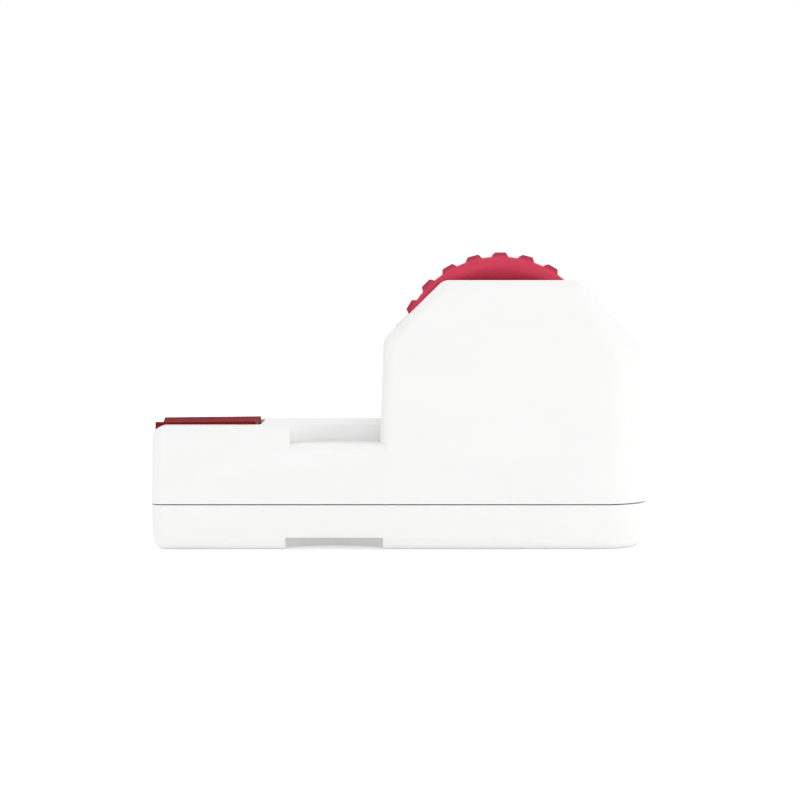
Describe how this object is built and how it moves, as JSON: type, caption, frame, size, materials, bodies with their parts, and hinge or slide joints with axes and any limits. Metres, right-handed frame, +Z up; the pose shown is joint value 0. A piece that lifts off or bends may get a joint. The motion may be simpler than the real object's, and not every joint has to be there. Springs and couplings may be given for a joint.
{
  "type": "handheld bag heat sealer",
  "caption": "Handheld bag heat sealer with a low nose under a press pad, a tall rounded housing behind it, a toothed thumb wheel in its top and a thin film slot all round.",
  "frame": {"origin": "centre of the case in plan, on its flat bottom", "axes": "+X from the nose to the rear, -Y the side the bag goes in and the grip recesses are on, +Z up"},
  "size_m": [0.132, 0.042, 0.0786],
  "materials": {
    "white_case": "fine satin texture",
    "crimson_wheel": "satin",
    "dark_red_pad": "satin",
    "white_gear": "moulded acetal",
    "amber_gear": "moulded nylon",
    "grey_silicone": "matt silicone rubber",
    "red_silicone": "matt heat-proof silicone rubber",
    "brown_resin": "heat-proof phenolic moulding",
    "film_cloth": "woven glass coated with non-stick resin",
    "steel": "ground and bright",
    "plated_steel": "nickel plated",
    "zinc_screw": "zinc plated",
    "dark_steel": "blackened spring steel",
    "bar_aluminium": "drawn",
    "brass_contact": "bright",
    "sintered_bronze": "sintered and oily",
    "board_green": "solder resist",
    "component_black": "moulded epoxy",
    "cell_sleeve": "shrunk sleeve, plain",
    "lead_insulation": "insulated wire"
  },
  "bodies": {
    "case": {"upper_housing": "white_case", "lower_housing": "white_case", "upper_guide": "white_case", "lower_guide": "white_case", "gear_chassis": "steel", "wheel_bushes": "sintered_bronze", "idler_pin": "steel", "idler_clip": "dark_steel", "shaft_bush": "sintered_bronze", "arm_pivot": "steel", "pinch_spring": "plated_steel", "press_springs": "plated_steel", "contact_posts": "brass_contact", "circuit_board": "board_green", "board_components": "component_black", "board_screws": "zinc_screw", "silicone_pad": "red_silicone", "anvil_bar": "bar_aluminium", "battery_cells": "cell_sleeve", "battery_springs": "plated_steel", "battery_plates": "plated_steel", "battery_leads": "lead_insulation", "heater_leads": "lead_insulation", "housing_screws": "zinc_screw", "chassis_screws": "zinc_screw", "guide_screws": "zinc_screw"},
    "wheel": {"thumb_wheel": "crimson_wheel", "wheel_axle": "steel", "axle_clips": "dark_steel", "drive_gear": "white_gear"},
    "idler": {"idler_gear": "amber_gear"},
    "feed": {"feed_shaft": "steel", "shaft_clip": "dark_steel", "feed_pinion": "white_gear", "feed_hub": "white_gear", "feed_tyre": "grey_silicone"},
    "arm": {"pinch_arm": "white_gear", "pinch_pin": "steel"},
    "pinch": {"pinch_roller": "grey_silicone"},
    "press": {"press_pad": "dark_red_pad", "heater_carrier": "brown_resin", "heating_strip": "steel", "film_cover": "film_cloth", "strip_clamps": "brass_contact", "press_screws": "zinc_screw", "contact_bridge": "brass_contact"},
    "door": {"battery_door": "white_case"}
  },
  "joints": [
    {"name": "wheel_spin", "type": "hinge", "parent": "case", "child": "wheel", "pos_m": [0.0267, 0, 0.0502], "axis": [0, 1, 0], "continuous": true},
    {"name": "idler_spin", "type": "hinge", "parent": "case", "child": "idler", "pos_m": [0.00992, 0, 0.033], "axis": [0, 1, 0], "continuous": true},
    {"name": "feed_spin", "type": "hinge", "parent": "case", "child": "feed", "pos_m": [0.006, 0, 0.02005], "axis": [0, 1, 0], "continuous": true},
    {"name": "arm_swing", "type": "hinge", "parent": "case", "child": "arm", "pos_m": [0.02, 0, 0.0055], "axis": [0, -1, 0], "range_deg": [0, 3], "stiffness_Nm_per_rad": 0.02, "springref_deg": -8.59, "deforming": ["pinch_spring"]},
    {"name": "pinch_spin", "type": "hinge", "parent": "arm", "child": "pinch", "pos_m": [0.006, 0, 0.00775], "axis": [0, 1, 0], "continuous": true},
    {"name": "press_slide", "type": "slide", "parent": "case", "child": "press", "axis": [0, 0, -1], "range_m": [0, 0.0011], "stiffness_N_per_m": 800, "springref_m": -0.001, "deforming": ["press_springs", "heater_leads"]},
    {"name": "door_hinge", "type": "hinge", "parent": "case", "child": "door", "pos_m": [-0.0026, 0, 0.0013], "axis": [0, 1, 0], "range_deg": [0, 90]}
  ],
  "couplings": [
    {"joint": "idler_spin", "follows": "wheel_spin", "ratio": -2},
    {"joint": "feed_spin", "follows": "wheel_spin", "ratio": 2.9091},
    {"joint": "pinch_spin", "follows": "wheel_spin", "ratio": -5.5411}
  ]
}
